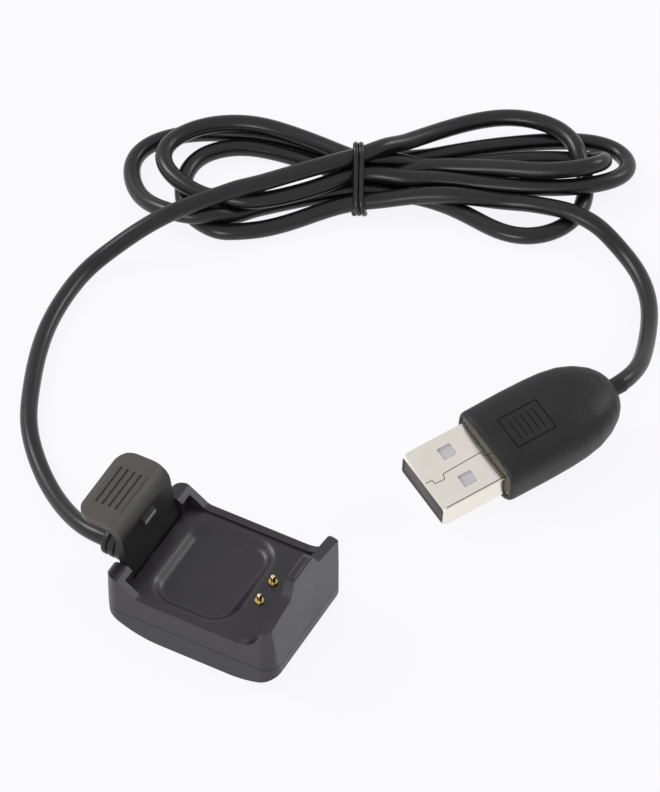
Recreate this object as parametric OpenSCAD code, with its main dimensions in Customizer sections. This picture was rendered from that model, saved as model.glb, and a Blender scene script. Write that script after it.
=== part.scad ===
// Charging cradle for a wrist-band activity tracker, with its cord and USB-A plug.
// Frame: millimetres, +Z up, +X from the latch to the contacts, and the origin in the
// middle of the flat under the cradle, on the surface that the cradle stands on.

/* [Cradle body] */
// Length along the bottom edge
body_l = 28; // [25:0.1:34]
// Width across the side rims
body_w = 22.8; // [20:0.1:30]
// Height of the side rims above the surface
rim_z = 8.2; // [7.8:0.1:11]
// Height of the parting line between housing and base cover
part_z = 4.2; // [3.8:0.1:4.8]
// Rise of the curved belly from its flat middle to either end
belly_rise = 2.2; // [1:0.1:2.6]
// Length of the flat in the middle of the belly
belly_flat = 12; // [6:0.5:16]
// Radius of the upright corners in plan
corner_r = 2.6; // [1.5:0.1:4]
// Thickness of the side walls at the rim
wall = 1.3; // [1:0.1:1.8]
// Step from the rim down to the floor
rim_lip = 0.35; // [0.2:0.05:0.8]
// Clear height between the parting line and the floor slab
slab_gap = 1.2; // [1:0.1:1.6]

/* [Tracker pocket] */
// Length of the sunk bay in the floor
bay_l = 15.8; // [13:0.1:16.5]
// Width of the sunk bay in the floor
bay_w = 19.6; // [14:0.1:20]
// Depth of the sunk bay
bay_d = 1.2; // [0.6:0.1:1.4]
// Corner radius of the sunk bay
bay_r = 5; // [4:0.1:6]
// Width of the bay's sloping sides
bay_slope = 2.8; // [1:0.1:3]
// Distance from the middle of the cradle back to the middle of the bay
bay_back = 2.7; // [2:0.1:3.4]

/* [End walls] */
// Height of the front wall at its horns
horn_z = 13.9; // [12:0.1:16]
// Height of the tongue in the middle of the front wall
tongue_z = 17; // [15:0.1:20]
// Width of the tongue at its top
tongue_w = 5; // [3:0.1:7]
// Thickness of the front wall at its top
front_t = 1.5; // [1.2:0.1:2]
// Height of the rear corner posts
post_z = 10.9; // [10:0.1:13]
// Lean of the front wall's outer face
front_lean = 1.0; // [0.5:0.1:1.6]
// Overhang of the rear face above the bottom edge
rear_lean = 2; // [1.8:0.1:2.4]

/* [Latch] */
// Width of the latch arm
arm_w = 15; // [12:0.1:15.4]
// Thickness of the latch arm
arm_t = 1.25; // [1:0.05:1.5]
// Height of the push tab's face
tab_z = 18.1; // [16:0.1:20]
// Reach of the push tab behind the floor's rear edge
tab_reach = 10.3; // [8:0.1:12]
// Radius of the latch trunnions
trunnion_r = 0.8; // [0.6:0.05:0.9]
// Radial running clearance of the trunnions
trunnion_fit = 0.04; // [0.02:0.01:0.08]
// Gap between the latch arm and the housing beside it
arm_gap = 0.3; // [0.2:0.05:0.4]
// Wire diameter of the latch springs
latch_wire = 0.3; // [0.2:0.05:0.3]
// Turns of each latch spring
spring_turns = 2; // [1:1:2]

/* [Contacts] */
// Distance between the two contact pins
pin_pitch = 4.35; // [3.6:0.05:6]
// Distance of the pins in front of the middle of the cradle
pin_x = 6.5; // [6:0.1:7.5]
// Outer radius of a contact barrel
barrel_r = 0.72; // [0.6:0.02:0.8]
// Bore radius of a contact barrel
barrel_bore = 0.5; // [0.4:0.02:0.55]
// Radial running clearance of a contact plunger
plunger_fit = 0.02; // [0.01:0.01:0.05]
// Radius of the plunger where it stands out of its barrel
plunger_r = 0.42; // [0.3:0.02:0.44]
// Height of the plunger tip above its barrel's rim
plunger_out = 1.3; // [1.1:0.1:1.8]

/* [Cord and plug] */
// Diameter of the cord's jacket
cord_d = 2.8; // [2.4:0.1:3.2]
// Height of the cord where it leaves the cradle
cord_z = 5.1; // [5:0.1:5.3]
// Length of the strain relief behind the cradle
relief_l = 6.6; // [4:0.1:9]
// Diameter of the strain relief at the cradle
relief_d = 5; // [4.4:0.1:5.4]
// Width of the plug's metal shell
shell_w = 12; // [11.8:0.1:12.2]
// Height of the plug's metal shell
shell_h = 4.5; // [4.4:0.1:4.6]
// Length of the metal shell that stands out of the grip
shell_out = 12.3; // [11.5:0.1:13]
// Thickness of the plug's metal shell
shell_t = 0.32; // [0.25:0.01:0.4]
// Width of the plug's grip at its open end
grip_w = 16.2; // [15.5:0.1:18]
// Height of the plug's grip at its open end
grip_h = 10.4; // [9.5:0.1:11.5]
// Length of the plug's grip
grip_l = 25.4; // [22:0.1:30]

/* [Hidden] */
$fn = 48;
eps = 0.01;
big = 60;

half_l = body_l / 2;
half_w = body_w / 2;
floor_z = rim_z - rim_lip;
slab_z = part_z + slab_gap;
bay_z = floor_z - bay_d;
front_in = half_l - 2.5;           // inner face of the front wall
front_top = front_in + front_t;    // its outer face at the top
floor_back = -(half_l - 1.4);      // rear edge of the floor
rear_wall_x = -(half_l + 0.55);    // inner face of the rear wall
rear_seam_x = -(half_l + rear_lean - 0.7); // outer face of the rear wall at the parting line
rear_wall_z = slab_z + 1.7;        // top of the rear wall behind the latch
base_t = 1;                        // thickness of the base cover
lip_t = 0.8;                       // thickness of the base cover's locating lip
lip_h = 0.8;                       // height of that lip above the parting line
seam = 0.05;                       // clearance of parts that locate in each other

pivot = [floor_back + 0.2, slab_z]; // latch axis, in x and z
knuckle_r = 1.5;
knuckle_in = 4.2;                  // inner end of each knuckle from the middle
half_arm = arm_w / 2;
ear_in = half_arm + 1.45;          // inner face of the ears that hold the trunnions
trunnion_end = ear_in + 1.15;
tooth_w = 3.4;
tooth_h = 0.7;
tooth_out = 0.55;

// Points of an arc about c, from angle a0 to a1, in n steps
function arc(c, r, a0, a1, n = 8) =
    [for (i = [0:n]) c + r * [cos(a0 + (a1 - a0) * i / n), sin(a0 + (a1 - a0) * i / n)]];

function unit(v) = v / norm(v);

// Tube swept along a list of points, with ends cut square; no stretch of it may run along ref
module swept(path, r, sides = 8, ref = [0.001, 0, 1]) {
    n = len(path);
    dirs = [for (i = [0:n - 1]) unit(path[min(i + 1, n - 1)] - path[max(i - 1, 0)])];
    rings = [for (i = [0:n - 1])
        let (side = unit(cross(dirs[i], ref)), up = cross(side, dirs[i]))
        for (k = [0:sides - 1])
            let (a = 360 * (k + 0.5) / sides)
            path[i] + r * (cos(a) * side + sin(a) * up)];
    walls = [for (i = [0:n - 2], k = [0:sides - 1])
        let (a = i * sides + k, b = i * sides + (k + 1) % sides)
        [a, b, b + sides, a + sides]];
    caps = [[for (k = [sides - 1:-1:0]) k], [for (k = [0:sides - 1]) (n - 1) * sides + k]];
    polyhedron(rings, concat(walls, caps), convexity = 10);
}

// Coil of round wire along Z, closed at both ends by its own end faces
module coil(mean_r, wire, turns, height, steps = 14) {
    n = ceil(turns * steps);
    swept([for (i = [0:n])
        [mean_r * cos(360 * turns * i / n), mean_r * sin(360 * turns * i / n), height * i / n]],
        wire / 2, 6);
}

// Outline extruded across the cradle, from -y to +y; its own Y is the frame's Z
module across(width) {
    translate([0, width / 2, 0]) rotate([90, 0, 0]) linear_extrude(width) children();
}

module rounded(l, w, r) {
    hull() for (x = [-1, 1], y = [-1, 1]) translate([x * (l / 2 - r), y * (w / 2 - r)]) circle(r);
}

// ---- cradle shell ----

// Side view of the whole cradle body, bottom edge first
belly_run = half_l - belly_flat / 2;
belly_r = (belly_run * belly_run + belly_rise * belly_rise) / (2 * belly_rise);
belly_a = asin(belly_run / belly_r);
rear_top = -(half_l + rear_lean);
module side_view() polygon(concat(
    arc([-belly_flat / 2, belly_r], belly_r, 270 - belly_a, 270),
    arc([belly_flat / 2, belly_r], belly_r, 270, 270 + belly_a),
    [[half_l, part_z - 0.4], [front_top + 0.05, tongue_z - 0.5]],
    arc([front_top - 0.5, tongue_z - 0.5], 0.5, 0, 90, 4),
    arc([front_in + 0.5, tongue_z - 0.5], 0.5, 90, 180, 4),
    [[front_in, horn_z - 2.2]],
    arc([front_in - 4, rim_z + 4], 4, -12, -90, 7),
    arc([floor_back + 3.4, rim_z + 2], 2, 270, 222, 4),
    arc([floor_back - 1.5, post_z - 1.5], 1.5, 50, 90, 4),
    arc([rear_top + 1.2, post_z - 1.2], 1.2, 90, 190, 6),
    [[rear_seam_x, part_z], [rear_seam_x + 0.3, belly_rise + 0.5]]
));

// Front view: horns, tongue and rims
module front_view() {
    foot = tongue_w / 2 + 2;
    polygon([
        [-half_w, -1], [half_w, -1], [half_w, horn_z - 1.6], [half_w - 0.9, horn_z - 0.9],
        [foot + 0.3, horn_z], [foot - 0.3, horn_z + 0.4],
        [tongue_w / 2 + 0.5, tongue_z - 0.5], [tongue_w / 2 - 0.4, tongue_z],
        [-tongue_w / 2 + 0.4, tongue_z], [-tongue_w / 2 - 0.5, tongue_z - 0.5],
        [-foot + 0.3, horn_z + 0.4], [-foot - 0.3, horn_z],
        [-half_w + 0.9, horn_z - 0.9], [-half_w, horn_z - 1.6]
    ]);
}

module body_outer() {
    plan_l = body_l + rear_lean;
    intersection() {
        across(body_w) side_view();
        rotate([90, 0, 90]) translate([0, 0, -big / 2]) linear_extrude(big) front_view();
        translate([-rear_lean / 2, 0, -1])
            linear_extrude(big) rounded(plan_l, body_w, corner_r);
    }
}

// Hole for the strain relief's neck and the recess for its root, in the rear wall
module relief_seat() {
    translate([0, 0, cord_z]) rotate([0, 90, 0]) {
        translate([0, 0, rear_wall_x - 4]) cylinder(d = relief_neck + 2 * seam, h = 5.5);
        translate([0, 0, relief_back - relief_l]) cylinder(d = relief_d + 2 * seam, h = relief_l);
    }
}

// Ears in the housing that hold the latch trunnions, on both sides
module ears() {
    for (s = [-1, 1])
        translate([pivot[0] - 1.6, s > 0 ? ear_in : -half_w + wall - eps, part_z - 0.7])
            cube([3.4, half_w - wall - ear_in + eps, slab_z - part_z + 2.4]);
}

module cradle_housing() {
    slot_w = arm_w + 2 * arm_gap;
    stake_r = 0.75;
    color("#2c2a2e") difference() {
        union() {
            difference() {
                intersection() {
                    body_outer();
                    translate([-big / 2, -big / 2, part_z]) cube([big, big, big]);
                }
                // room inside, under the floor slab
                translate([floor_back + 2.4, -half_w + wall, part_z - 1])
                    cube([front_in - floor_back - 2.4, body_w - 2 * wall, 1 + slab_gap]);
                // room for the latch knuckles, under the floor's rear edge
                translate([rear_wall_x, -half_w + wall, part_z - 1])
                    cube([floor_back + 2.5 - rear_wall_x, body_w - 2 * wall, slab_z + 2.7 - part_z]);
                // pocket above the floor
                translate([floor_back, -half_w + wall, floor_z])
                    cube([front_in - floor_back, body_w - 2 * wall, big]);
                // slot for the latch arm between the corner posts
                translate([rear_wall_x, -slot_w / 2, part_z])
                    cube([floor_back - rear_wall_x, slot_w, big]);
                translate([-big / 2, -slot_w / 2, rear_wall_z])
                    cube([big / 2 + floor_back, slot_w, big]);
                // sunk bay with sloping sides
                translate([-bay_back, 0, bay_z]) hull() {
                    linear_extrude(eps)
                        rounded(bay_l - 2 * bay_slope, bay_w - 2 * bay_slope, bay_r - bay_slope);
                    translate([0, 0, bay_d]) linear_extrude(1) rounded(bay_l, bay_w, bay_r);
                }
            }
            ears();
            // stakes that hold the circuit board
            for (y = [-1, 1]) translate([0, y * stake_y, board_z - board_t - 0.5])
                cylinder(r = stake_r, h = slab_z - board_z + board_t + 0.5 + eps);
        }
        for (y = [-1, 1]) translate([pin_x, y * pin_pitch / 2, slab_z - 1])
            cylinder(r = barrel_r + seam, h = big);
        translate([pivot[0], 0, pivot[1]]) rotate([90, 0, 0])
            cylinder(r = trunnion_r + trunnion_fit, h = 2 * trunnion_end + 0.3, center = true);
        relief_seat();
    }
}

module base_cover() {
    color("#262428") difference() {
        union() {
            intersection() {
                body_outer();
                translate([-big / 2, -big / 2, -1]) cube([big, big, part_z + 1]);
            }
            // lip that locates in the housing
            translate([floor_back + 3.6, -half_w + wall + seam, part_z - 1])
                cube([front_in - floor_back - 3.6 - seam, body_w - 2 * (wall + seam), 1 + lip_h]);
        }
        // room inside, over the curved belly
        across(body_w - 2 * wall - 0.2) polygon(concat(
            arc([-belly_flat / 2, belly_r], belly_r - base_t, 270 - belly_a, 270),
            arc([belly_flat / 2, belly_r], belly_r - base_t, 270, 270 + belly_a * 0.8),
            [[front_in - 0.6, part_z - 1 + eps], [-belly_flat, part_z - 1 + eps]]
        ));
        translate([floor_back + 2, -half_w + wall + lip_t, part_z - 1])
            cube([front_in - floor_back - 2 - lip_t, body_w - 2 * (wall + lip_t), big]);
        translate([rear_wall_x, -half_w + wall - seam, part_z - 1.2])
            cube([floor_back + 3.6 - rear_wall_x, body_w - 2 * (wall - seam), big]);
        relief_seat();
    }
}

// ---- latch ----
spring_r = trunnion_r + 0.1 + latch_wire / 2; // mean radius of a latch spring
tang_l = 0.9;                      // spring tang that enters the arm

// Side view of the arm's front face, foot first, then the tab to its rear end
arm_foot = floor_back - arm_gap;
tab_end = floor_back - tab_reach;
bend_r = 3.2;
bend_c = [arm_foot - 1.5 - bend_r, tab_z - bend_r - 0.1];
function arm_face(t) = concat(
    [[arm_foot - t, pivot[1]], [arm_foot - t, floor_z]],
    [[arm_foot - 0.9 - t, floor_z + 3]],
    arc(bend_c, bend_r - t, 5, 85, 8),
    [[tab_end + 1, tab_z - 0.1 - t]]
);

// Outline that follows the face down one side and its own thickness back up the other
module arm_side() {
    back = arm_face(arm_t);
    polygon(concat(
        arm_face(0),
        [[tab_end, tab_z - 0.35], [tab_end, tab_z - arm_t + 0.1]],
        [for (i = [len(back) - 1:-1:0]) back[i]]
    ));
}

module latch_arm() {
    groove_n = 5;
    groove_pitch = 1.15;
    color("#5b5857") difference() {
        union() {
            intersection() {
                across(arm_w) arm_side();
                // rounded corners of the tab, seen from above
                translate([0, 0, -1]) linear_extrude(big) hull() {
                    for (s = [-1, 1]) translate([tab_end + 2.8, s * (half_arm - 2.8)]) circle(2.8);
                    translate([arm_foot - 2, -half_arm]) square([4, arm_w]);
                }
            }
            for (s = [-1, 1]) {
                translate([pivot[0], s * knuckle_in, pivot[1]]) rotate([s * -90, 0, 0])
                    cylinder(r = knuckle_r, h = half_arm - knuckle_in);
                translate([pivot[0], s * knuckle_in, pivot[1]]) rotate([s * -90, 0, 0])
                    cylinder(r = trunnion_r, h = trunnion_end - knuckle_in);
            }
            // catch tooth that holds the tracker down
            translate([arm_foot - 2.2, -tooth_w / 2, tab_z - 4]) hull() {
                cube([0.9, tooth_w, 1.1]);
                translate([0, 0.2, 0.1]) cube([0.9 + tooth_out, tooth_w - 0.4, 0.3]);
            }
        }
        // the cord passes between the knuckles
        translate([-big, -knuckle_in, -1]) cube([2 * big, 2 * knuckle_in, rear_wall_z + 1.4]);
        // holes for the spring tangs
        for (s = [-1, 1])
            translate([pivot[0] + spring_r, s * (half_arm + 0.5), pivot[1]]) rotate([s * 90, 0, 0])
                cylinder(d = latch_wire + 2 * seam, h = tang_l + 0.6, $fn = 16);
        // grip grooves across the tab
        for (i = [0:groove_n - 1])
            translate([tab_end + 1.7 + i * groove_pitch, -half_arm + 3.4, tab_z - 0.4])
                cube([0.35, arm_w - 6.8, 1]);
    }
}

// Torsion spring on one trunnion, with a tang in the arm and a leg under the floor
module latch_spring() {
    long = ear_in - half_arm - 0.4 - latch_wire;
    steps = 14;
    n = spring_turns * steps;
    start = half_arm + 0.2 + latch_wire / 2;
    color("#b9bcc0") translate([pivot[0], 0, pivot[1]]) swept(concat(
        [[spring_r, start - tang_l, 0]],
        [for (i = [0:n]) let (a = 360 * spring_turns * i / n)
            [spring_r * cos(a), start + long * i / n, spring_r * sin(a)]],
        [[spring_r - 0.1, start + long, 1], [spring_r - 0.4, start + long, 1.5]]
    ), latch_wire / 2, 6, [1, 2, 0]);
}
module latch_spring_left() latch_spring();
module latch_spring_right() mirror([0, 1, 0]) latch_spring();

// ---- contacts and circuit board ----
board_t = 0.9;
board_z = slab_z - 0.95;           // top of the circuit board
board_l = 12.5;
board_w = 15.5;
board_x = 3.2;
stake_y = 6;
collar_h = 0.35;                   // collar of a barrel above the floor
barrel_top = floor_z + collar_h;
spring_d = 0.82;
plunger_head_z = slab_z + 1.4;     // underside of the plunger inside the barrel
barrel_mouth = 0.35;               // length of the barrel's narrowed mouth

module at_pins() for (s = [-1, 1]) translate([pin_x, s * pin_pitch / 2, 0]) children();

module contact_barrels() {
    color("#d9b24a") at_pins() difference() {
        union() {
            translate([0, 0, board_z]) cylinder(r = barrel_r, h = barrel_top - board_z);
            translate([0, 0, board_z - board_t - 0.35]) cylinder(r = 0.3, h = board_t + 0.4);
        }
        translate([0, 0, board_z + 0.35])
            cylinder(r = barrel_bore, h = barrel_top - board_z - 0.35 - barrel_mouth);
        translate([0, 0, board_z + 0.5]) cylinder(r = plunger_r + plunger_fit, h = big);
    }
}

module contact_plunger(side) {
    neck_z = barrel_top - barrel_mouth - 0.1;
    color("#e6c463") translate([pin_x, side * pin_pitch / 2, 0]) {
        translate([0, 0, plunger_head_z])
            cylinder(r = barrel_bore - plunger_fit, h = neck_z - plunger_head_z);
        translate([0, 0, neck_z - eps])
            cylinder(r = plunger_r, h = barrel_top + plunger_out - 0.3 - neck_z + eps);
        translate([0, 0, barrel_top + plunger_out - 0.3])
            cylinder(r1 = plunger_r, r2 = plunger_r - 0.16, h = 0.3, $fn = 24);
    }
}
module contact_plunger_left() contact_plunger(1);
module contact_plunger_right() contact_plunger(-1);

module contact_spring(side) {
    low = board_z + 0.45;
    color("#c9ccd0") translate([pin_x, side * pin_pitch / 2, low])
        coil(spring_d / 2 - 0.08, 0.15, 5, plunger_head_z - low - 0.12, 10);
}
module contact_spring_left() contact_spring(1);
module contact_spring_right() contact_spring(-1);

module contact_carrier() {
    color("#3d3a36") difference() {
        translate([pin_x - 1.7, -pin_pitch / 2 - 1.7, board_z])
            cube([3.4, pin_pitch + 3.4, slab_z - board_z]);
        at_pins() translate([0, 0, board_z - 1]) cylinder(r = barrel_r + seam / 2, h = 4);
    }
}

module circuit_board() {
    color("#1f6b46") difference() {
        translate([board_x - board_l / 2, -board_w / 2, board_z - board_t])
            cube([board_l, board_w, board_t]);
        for (y = [-1, 1]) translate([0, y * stake_y, 0]) cylinder(r = 0.75 + seam, h = 12);
        at_pins() cylinder(r = 0.3 + seam, h = 12);
    }
}

module board_resistors() {
    color("#d8d4cc") for (i = [0:2])
        translate([1.6 + 0.8 * i, -2.2 + 1.9 * i, board_z]) cube([0.5, 1, 0.4]);
}

core_end = floor_back + 2.3;
wire_y = 0.62;
module board_wires() {
    pad_x = board_x - board_l / 2 + 0.9;
    for (s = [-1, 1]) color(s > 0 ? "#b3302c" : "#1b1b1d") swept([
        [core_end, s * wire_y, cord_z - 0.3], [core_end + 0.8, s * wire_y, cord_z - 0.3],
        [core_end + 2.6, s * 1.1, cord_z - 1.6], [pad_x - 3, s * 1.6, board_z - board_t - 0.9],
        [pad_x, s * 2, board_z - board_t - 0.45], [pad_x + 1.2, s * 2, board_z - board_t - 0.45]
    ], 0.42, 8);
}

// ---- cord at the cradle ----
relief_neck = cord_d + 0.5;
relief_back = rear_wall_x - 0.5;   // seat of the relief's root in the rear wall
relief_end = relief_back - relief_l;

module strain_relief() {
    color("#232225") translate([0, 0, cord_z]) rotate([0, 90, 0]) difference() {
        union() {
            translate([0, 0, relief_end])
                cylinder(d1 = relief_d - 0.5, d2 = relief_d, h = relief_l - seam, $fn = 40);
            translate([0, 0, relief_back - 0.2])
                cylinder(d = relief_neck, h = rear_wall_x - relief_back + 0.6);
            translate([0, 0, rear_wall_x + seam]) cylinder(d = relief_neck + 0.6, h = 0.7);
        }
        translate([0, 0, relief_end - 1]) cylinder(d = cord_d, h = 12);
    }
}

// Jacketed end of the cord inside the relief and the cradle
module cord_core() {
    color("#1d1c1f") translate([relief_end, 0, cord_z]) rotate([0, 90, 0])
        cylinder(d = cord_d, h = core_end - relief_end);
}

// ---- free cord ----
lead_cradle = [
    [-26, 0.8, 4.3], [-30.4, 3.2, 3], [-34.8, 6.3, 1.9], [-39, 9.8, 1.4],
    [-43.2, 14, 1.4], [-46.8, 18.8, 1.4], [-49.8, 25, 1.4], [-52.4, 31.5, 1.4],
    [-54.2, 38, 1.4], [-55, 45, 1.4], [-54.8, 52, 1.4], [-53.6, 58, 2.2], [-51.3, 65, 4.2]
];
lead_plug = [
    [13.8, 97, 1.4], [20, 94, 1.4], [25, 89.8, 1.6], [29, 84.6, 2.2],
    [32, 79.2, 3.5], [34.7, 74.1, 5.4], [35.6, 69.8, 7.1]
];
tail_r = cord_d / 2;

module cord_lead_cradle() {
    start = [relief_end, 0, cord_z];
    color("#1d1c1f") swept(concat([start, start - [1, 0, 0]], lead_cradle), tail_r);
}

hank_at = [-25, 88, 0];
hank_turn = 27;
hank_h = 7.4;
tie_t = 1;
row_h = cord_d * sqrt(3) / 2;      // height from one layer of cords to the next
waist_off = 0.5;                   // sideways shift of the tied cords from the hank's line
// Outline of the seven cords in the tie: four, then two, then one on top
module waist() hull() translate([waist_off, tie_t + cord_d / 2 + 0.02])
    for (c = [[-1.5, 0], [1.5, 0], [0, 1], [1, 1], [0.5, 2]])
        translate([c[0] * cord_d, c[1] * row_h]) circle(d = cord_d);
module lobe(x, y, r) hull() {
    translate([x, y]) circle(r);
    translate([sign(x) * 10.6, 0]) circle(8.4);
}
module cord_hank() {
    color("#1d1c1f") translate(hank_at) rotate([0, 0, hank_turn]) {
        linear_extrude(hank_h) lobe(-24, 1, 13.4);
        linear_extrude(hank_h) lobe(30, 1.5, 13.8);
        translate([-4, 0, 0]) rotate([90, 0, 90]) linear_extrude(8) waist();
    }
}

// Wire tie: two turns round the hank's waist
module cord_tie() {
    color("#151416") translate(hank_at) rotate([0, 0, hank_turn]) {
        for (x = [-1.35, 0.15]) translate([x, 0, 0]) rotate([90, 0, 90])
            linear_extrude(1.2) difference() {
                offset(r = tie_t) waist();
                offset(r = eps) waist();
            }
    }
}

// ---- plug, in its own frame: nose along +X, grip face at x = 0 ----
plug_at = [22.4, 42.8, 6];
plug_turn = [-10, 4, 241.5];
module plug() translate(plug_at) rotate(plug_turn) children();

plug_back = [-cos(plug_turn[1]) * cos(plug_turn[2]), -cos(plug_turn[1]) * sin(plug_turn[2]),
    sin(plug_turn[1])];            // direction from the plug's nose to its cord
module cord_lead_plug() {
    color("#1d1c1f")
        swept(concat(lead_plug, [for (l = [1, 0]) plug_at + (grip_l + l) * plug_back]), tail_r);
}

// One station of the grip: a rounded rectangle across the plug at x
module station(x, w, h, r)
    translate([x, 0, 0]) rotate([90, 0, 90]) linear_extrude(0.05) rounded(w, h, r, $fn = 32);

mould_l = 12.5;
mould_w = 11.6;
mould_h = 6.4;
shell_in = 6;
recess = 0.9;
module plug_grip() {
    color("#29282b") plug() difference() {
        hull() {
            station(-0.05, grip_w - 0.8, grip_h - 0.8, 2.6);
            station(-0.9, grip_w, grip_h, 3);
            station(-grip_l * 0.45, grip_w, grip_h, 4);
            station(-grip_l * 0.72, grip_w - 1.8, grip_h - 1.4, 4);
            station(-grip_l * 0.9, grip_w - 5.2, grip_h - 3.4, 3.2);
            station(-grip_l * 0.98, grip_w - 8.8, grip_h - 5, 2.6);
            station(-grip_l, grip_w - 11, grip_h - 6.2, 2);
        }
        translate([-recess, 0, 0]) rotate([90, 0, 90])
            linear_extrude(2) rounded(shell_w + 1.6, shell_h + 1.6, 1.2);
        translate([-shell_in, -shell_w / 2, -shell_h / 2]) cube([big, shell_w, shell_h]);
        translate([-shell_in - mould_l, -mould_w / 2, -mould_h / 2]) cube([mould_l, mould_w, mould_h]);
        rotate([0, -90, 0]) cylinder(d = cord_d + seam, h = big);
    }
}

module plug_shell() {
    color("#c9c7c2") plug() difference() {
        translate([-shell_in, -shell_w / 2, -shell_h / 2]) cube([shell_in + shell_out, shell_w, shell_h]);
        translate([-shell_in - 1, -shell_w / 2 + shell_t, -shell_h / 2 + shell_t])
            cube([big, shell_w - 2 * shell_t, shell_h - 2 * shell_t]);
        for (y = [-1, 1]) translate([shell_out - 6.4, y * 2.9 - 1.15, -big / 2]) cube([2.4, 2.3, big]);
    }
}

tongue_t = 1.8;
tongue_top = shell_h / 2 - shell_t;
module plug_tongue() {
    color("#8f908e") plug() translate([-shell_in + 0.2, -shell_w / 2 + shell_t, tongue_top - tongue_t])
        cube([shell_in + shell_out - 0.9, shell_w - 2 * shell_t, tongue_t]);
}

contact_t = 0.2;
module plug_contacts() {
    color("#d9b24a") plug() for (i = [0:3])
        translate([-shell_in - 1.2, (i - 1.5) * 2.3 - 0.55, tongue_top - tongue_t - contact_t])
            cube([shell_in + shell_out - (i % 3 == 0 ? 1 : 2), 1.1, contact_t]);
}

crimp_l = 3.4;
module plug_inner_mould() {
    color("#d9d6cc") plug() difference() {
        translate([-shell_in - mould_l, -mould_w / 2, -mould_h / 2]) cube([mould_l, mould_w, mould_h]);
        translate([-shell_in - 7, -5, -1.6]) cube([big, 10, 2.6]);
        rotate([0, -90, 0]) cylinder(d = cord_d + 0.8 + seam, h = big);
    }
}

module plug_crimp() {
    color("#b4b6b8") plug() translate([-shell_in - mould_l, 0, 0]) rotate([0, 90, 0]) difference() {
        cylinder(d = cord_d + 0.8, h = crimp_l);
        translate([0, 0, -1]) cylinder(d = cord_d, h = big);
    }
}

module plug_wires() {
    plug() {
        for (s = [-1, 1]) color(s > 0 ? "#b3302c" : "#1b1b1d") swept([
            [-shell_in - 9.4, s * 0.62, 0], [-shell_in - 7.6, s * 0.7, 0], [-shell_in - 5.6, s * 1.8, -0.5],
            [-shell_in - 3.4, s * 3.2, -0.7], [-shell_in - 0.4, s * 3.45, -0.45]
        ], 0.4, 8);
        color("#1d1c1f") translate([-shell_in - 9.4, 0, 0]) rotate([0, -90, 0])
            cylinder(d = cord_d, h = grip_l - shell_in - 9.4);
    }
}

cradle_housing();
base_cover();
latch_arm();
latch_spring_left();
latch_spring_right();
contact_carrier();
contact_barrels();
contact_plunger_left();
contact_plunger_right();
contact_spring_left();
contact_spring_right();
circuit_board();
board_resistors();
board_wires();
cord_core();
strain_relief();
cord_lead_cradle();
cord_hank();
cord_tie();
cord_lead_plug();
plug_grip();
plug_shell();
plug_tongue();
plug_contacts();
plug_inner_mould();
plug_crimp();
plug_wires();
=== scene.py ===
"""Charging cradle for a wrist-band activity tracker, with its tied cord and its USB-A plug.

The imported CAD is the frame. Shapes are worked out in millimetres and written in metres.
"""

import math

import bmesh
import bpy
import numpy as np
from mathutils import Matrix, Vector


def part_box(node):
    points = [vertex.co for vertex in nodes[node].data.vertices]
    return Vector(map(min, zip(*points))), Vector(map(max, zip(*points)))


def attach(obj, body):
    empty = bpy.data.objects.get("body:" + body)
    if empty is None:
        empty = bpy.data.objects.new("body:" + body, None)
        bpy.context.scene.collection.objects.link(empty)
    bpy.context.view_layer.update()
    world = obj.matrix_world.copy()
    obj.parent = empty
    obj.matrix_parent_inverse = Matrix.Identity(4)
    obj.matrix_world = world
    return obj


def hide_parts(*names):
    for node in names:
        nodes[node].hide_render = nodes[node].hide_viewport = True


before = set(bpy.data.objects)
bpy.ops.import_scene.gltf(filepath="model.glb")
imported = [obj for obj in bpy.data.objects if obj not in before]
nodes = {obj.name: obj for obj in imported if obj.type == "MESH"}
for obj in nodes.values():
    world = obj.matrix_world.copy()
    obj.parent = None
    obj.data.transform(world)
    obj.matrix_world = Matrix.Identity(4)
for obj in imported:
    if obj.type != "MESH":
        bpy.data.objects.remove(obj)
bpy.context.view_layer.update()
MM = 0.001

# ---- mesh helpers ----


def closed_rings(rows, cols, caps=True):
    """Quads between neighbouring rings of a tube of rows rings with cols points each.
    caps adds one flat face over the first ring and one over the last."""
    r, c = np.meshgrid(np.arange(rows - 1), np.arange(cols), indexing="ij")
    a, b = r * cols + c, r * cols + (c + 1) % cols
    faces = np.stack([a, b, b + cols, a + cols], -1).reshape(-1, 4).tolist()
    if caps:
        faces.append(list(range(cols))[::-1])
        faces.append(list(range((rows - 1) * cols, rows * cols)))
    return faces


def piece(name, points, faces, finish, body="cradle", smooth=True, sharp=40):
    """A new object at the origin from points in millimetres, riding on a body."""
    mesh = bpy.data.meshes.new(name)
    mesh.from_pydata((np.asarray(points, float) * MM).tolist(), [], faces)
    mesh.materials.append(finish)
    made = bpy.data.objects.new(name, mesh)
    bpy.context.scene.collection.objects.link(made)
    outward(mesh)
    if smooth:
        mesh.shade_smooth()
        mesh.set_sharp_from_angle(angle=math.radians(sharp))
    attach(made, body)
    return made


def outward(mesh):
    """Turns every face of a closed mesh to point out."""
    work = bmesh.new()
    work.from_mesh(mesh)
    bmesh.ops.recalc_face_normals(work, faces=work.faces)
    work.to_mesh(mesh)
    work.free()


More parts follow.
